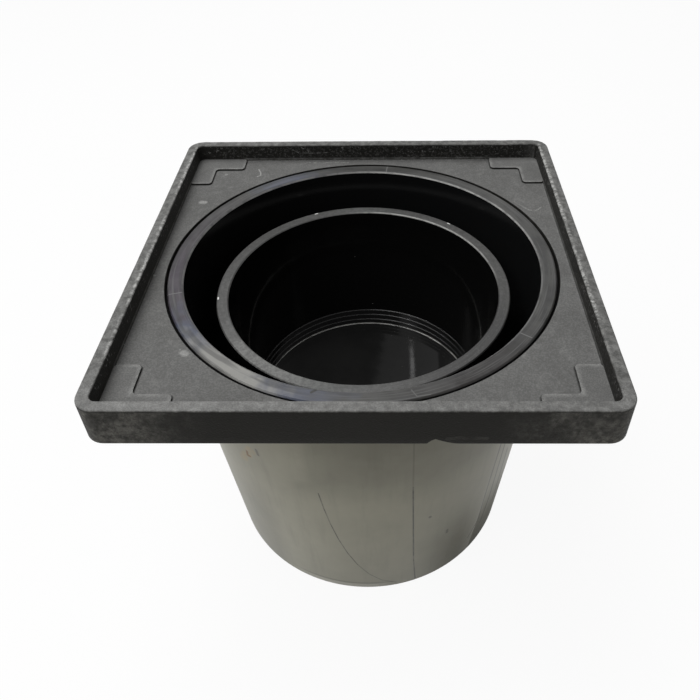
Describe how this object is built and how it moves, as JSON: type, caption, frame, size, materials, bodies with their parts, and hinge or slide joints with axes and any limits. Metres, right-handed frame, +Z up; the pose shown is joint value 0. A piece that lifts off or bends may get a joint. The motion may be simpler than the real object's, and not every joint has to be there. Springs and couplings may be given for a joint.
{
  "type": "floor drain",
  "caption": "Square black floor drain: a recessed frame for a grate lies on a tapered tub, with a lift-out cup inside and an outlet for the drain pipe underneath.",
  "frame": {"origin": "middle of the tub's foot, on the surface that the drain stands on", "axes": "+Z up through the tub, +X along the frame's front side, -Y towards the front with the nick in its lower edge"},
  "size_m": [0.2, 0.2, 0.168],
  "materials": {
    "frame_plastic": "dull sand grain, dusty, rim edges scuffed pale",
    "tub_plastic": "smooth and glossy, warm grey outside, black inside",
    "cup_plastic": "smooth and glossy black, dull cut rim"
  },
  "bodies": {
    "root": {"frame": "frame_plastic", "tub": "tub_plastic", "cup": "cup_plastic"}
  },
  "joints": []
}
